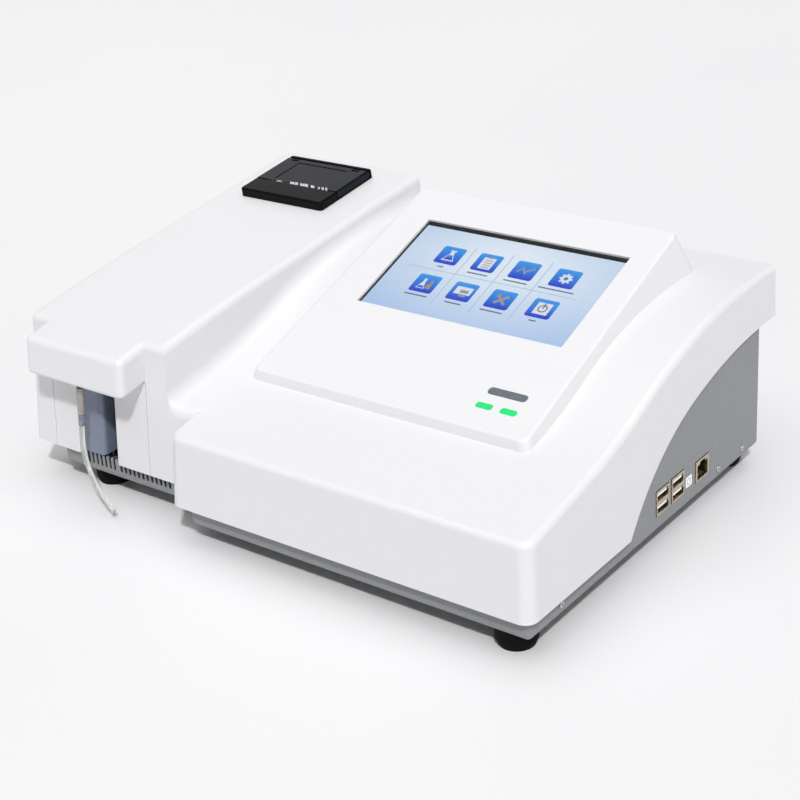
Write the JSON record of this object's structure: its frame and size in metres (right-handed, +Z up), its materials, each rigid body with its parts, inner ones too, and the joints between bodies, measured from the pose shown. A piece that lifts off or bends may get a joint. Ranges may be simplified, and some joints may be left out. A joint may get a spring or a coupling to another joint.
{
  "type": "benchtop chemistry analyzer",
  "caption": "Semi-automatic benchtop chemistry analyzer: wave-shaped white housing, sloping touch screen console, hinged panel printer, sampling key with hanging sipper tube",
  "frame": {"origin": "on the bench, under the middle of the housing's outline", "axes": "+X to the operator's right, +Y to the rear, +Z up; the operator stands at -Y"},
  "size_m": [0.396, 0.2831, 0.1517],
  "materials": {
    "cover_white": "fine-grained moulded ABS, satin",
    "tray_grey": "powder-coated sheet steel",
    "key_blue_grey": "moulded ABS, satin",
    "black_plastic": "moulded ABS, fine texture",
    "lid_black": "polished smoked acrylic",
    "foot_rubber": "soft rubber, matt",
    "steel": "zinc-plated",
    "nickel": "nickel-plated shell",
    "aluminium": "machined, bare",
    "touch_glass": "polished cover glass",
    "lcd": "lit display",
    "indicator_grey": "satin window",
    "indicator_green": "lit lens",
    "circuit_board": "solder mask",
    "sleeve_beige": "satin sleeve",
    "clear_plastic": "clear polymer",
    "clear_tube": "clear silicone tube",
    "paper": "thermal paper",
    "tongue_white": "moulded nylon",
    "brass": "plain",
    "quartz": "polished quartz",
    "platen_rubber": "ground rubber"
  },
  "bodies": {
    "housing": {"main_cover": "cover_white", "front_panel": "cover_white", "base_tray": "tray_grey", "rear_panel": "tray_grey", "feet": "foot_rubber", "screws": "steel", "spacers_and_nuts": "steel", "key_bracket": "black_plastic", "key_pivot_pin": "steel", "key_spring": "steel", "key_switch": "black_plastic", "sipper_cap": "black_plastic", "sipper_sleeve": "sleeve_beige", "sipper_joint": "clear_plastic", "sipper_tube": "clear_tube", "touch_glass": "touch_glass", "lcd_panel": "lcd", "lcd_bracket": "steel", "indicator_bar": "indicator_grey", "indicator_lenses": "indicator_green", "indicator_board": "circuit_board", "printer_bezel": "black_plastic", "lid_pin": "steel", "print_head": "black_plastic", "tear_bar": "steel", "main_board": "circuit_board", "usb_sockets": "nickel", "usb_tongues": "tongue_white", "network_socket": "nickel", "mains_inlet": "black_plastic", "inlet_pins": "brass", "rocker_frame": "black_plastic", "fan_frame": "black_plastic", "fan_guard": "steel", "waste_outlet": "black_plastic", "power_supply": "aluminium", "optical_bench": "aluminium", "lamp_housing": "aluminium", "lamp": "quartz", "lens_tube": "aluminium", "filter_motor": "steel", "cell_block": "aluminium", "flow_cell": "quartz", "light_detector": "black_plastic", "pump_motor": "steel", "pump_bracket": "aluminium", "pump_head": "black_plastic", "inner_tubes": "clear_tube"},
    "printer_lid": {"printer_lid": "lid_black"},
    "platen_roller": {"platen_roller": "platen_rubber"},
    "paper_roll": {"paper_roll": "paper"},
    "sampler_key": {"sampler_key": "key_blue_grey"},
    "rocker": {"rocker": "black_plastic"},
    "fan_rotor": {"fan_rotor": "black_plastic"},
    "filter_wheel": {"filter_wheel": "aluminium", "optical_filters": "quartz"},
    "pump_rotor": {"pump_rotor": "steel"},
    "pump_roller_a": {"pump_roller_a": "tongue_white"},
    "pump_roller_b": {"pump_roller_b": "tongue_white"},
    "pump_roller_c": {"pump_roller_c": "tongue_white"}
  },
  "joints": [
    {"name": "lid_hinge", "type": "hinge", "parent": "housing", "child": "printer_lid", "pos_m": [-0.1375, 0.12029, 0.14613], "axis": [-1, 0, 0], "range_deg": [0, 100]},
    {"name": "platen_spin", "type": "hinge", "parent": "printer_lid", "child": "platen_roller", "pos_m": [-0.1375, 0.09391, 0.13584], "axis": [1, 0, 0], "continuous": true},
    {"name": "roll_spin", "type": "hinge", "parent": "housing", "child": "paper_roll", "pos_m": [-0.1375, 0.10713, 0.11865], "axis": [1, 0, 0], "continuous": true},
    {"name": "key_push", "type": "hinge", "parent": "housing", "child": "sampler_key", "pos_m": [-0.1455, -0.1061, 0.076], "axis": [1, 0, 0], "range_deg": [0, 3], "stiffness_Nm_per_rad": 0.3, "springref_deg": -2.86},
    {"name": "rocker_press", "type": "hinge", "parent": "housing", "child": "rocker", "pos_m": [0.105, 0.121, 0.05], "axis": [-1, 0, 0], "range_deg": [0, 18]},
    {"name": "fan_spin", "type": "hinge", "parent": "housing", "child": "fan_rotor", "pos_m": [0, 0.112, 0.064], "axis": [0, 1, 0], "continuous": true},
    {"name": "filter_turn", "type": "hinge", "parent": "housing", "child": "filter_wheel", "pos_m": [-0.114, 0.036, 0.057], "axis": [0, 1, 0], "continuous": true},
    {"name": "pump_turn", "type": "hinge", "parent": "housing", "child": "pump_rotor", "pos_m": [0.0071, -0.063, 0.037], "axis": [1, 0, 0], "continuous": true},
    {"name": "roller_spin_a", "type": "hinge", "parent": "pump_rotor", "child": "pump_roller_a", "pos_m": [0.0071, -0.063, 0.0257], "axis": [1, 0, 0], "continuous": true},
    {"name": "roller_spin_b", "type": "hinge", "parent": "pump_rotor", "child": "pump_roller_b", "pos_m": [0.0071, -0.05321, 0.04265], "axis": [1, 0, 0], "continuous": true},
    {"name": "roller_spin_c", "type": "hinge", "parent": "pump_rotor", "child": "pump_roller_c", "pos_m": [0.0071, -0.07279, 0.04265], "axis": [1, 0, 0], "continuous": true}
  ],
  "couplings": [
    {"joint": "roller_spin_a", "follows": "pump_turn", "ratio": -3.5111},
    {"joint": "roller_spin_b", "follows": "pump_turn", "ratio": -3.5111},
    {"joint": "roller_spin_c", "follows": "pump_turn", "ratio": -3.5111}
  ]
}
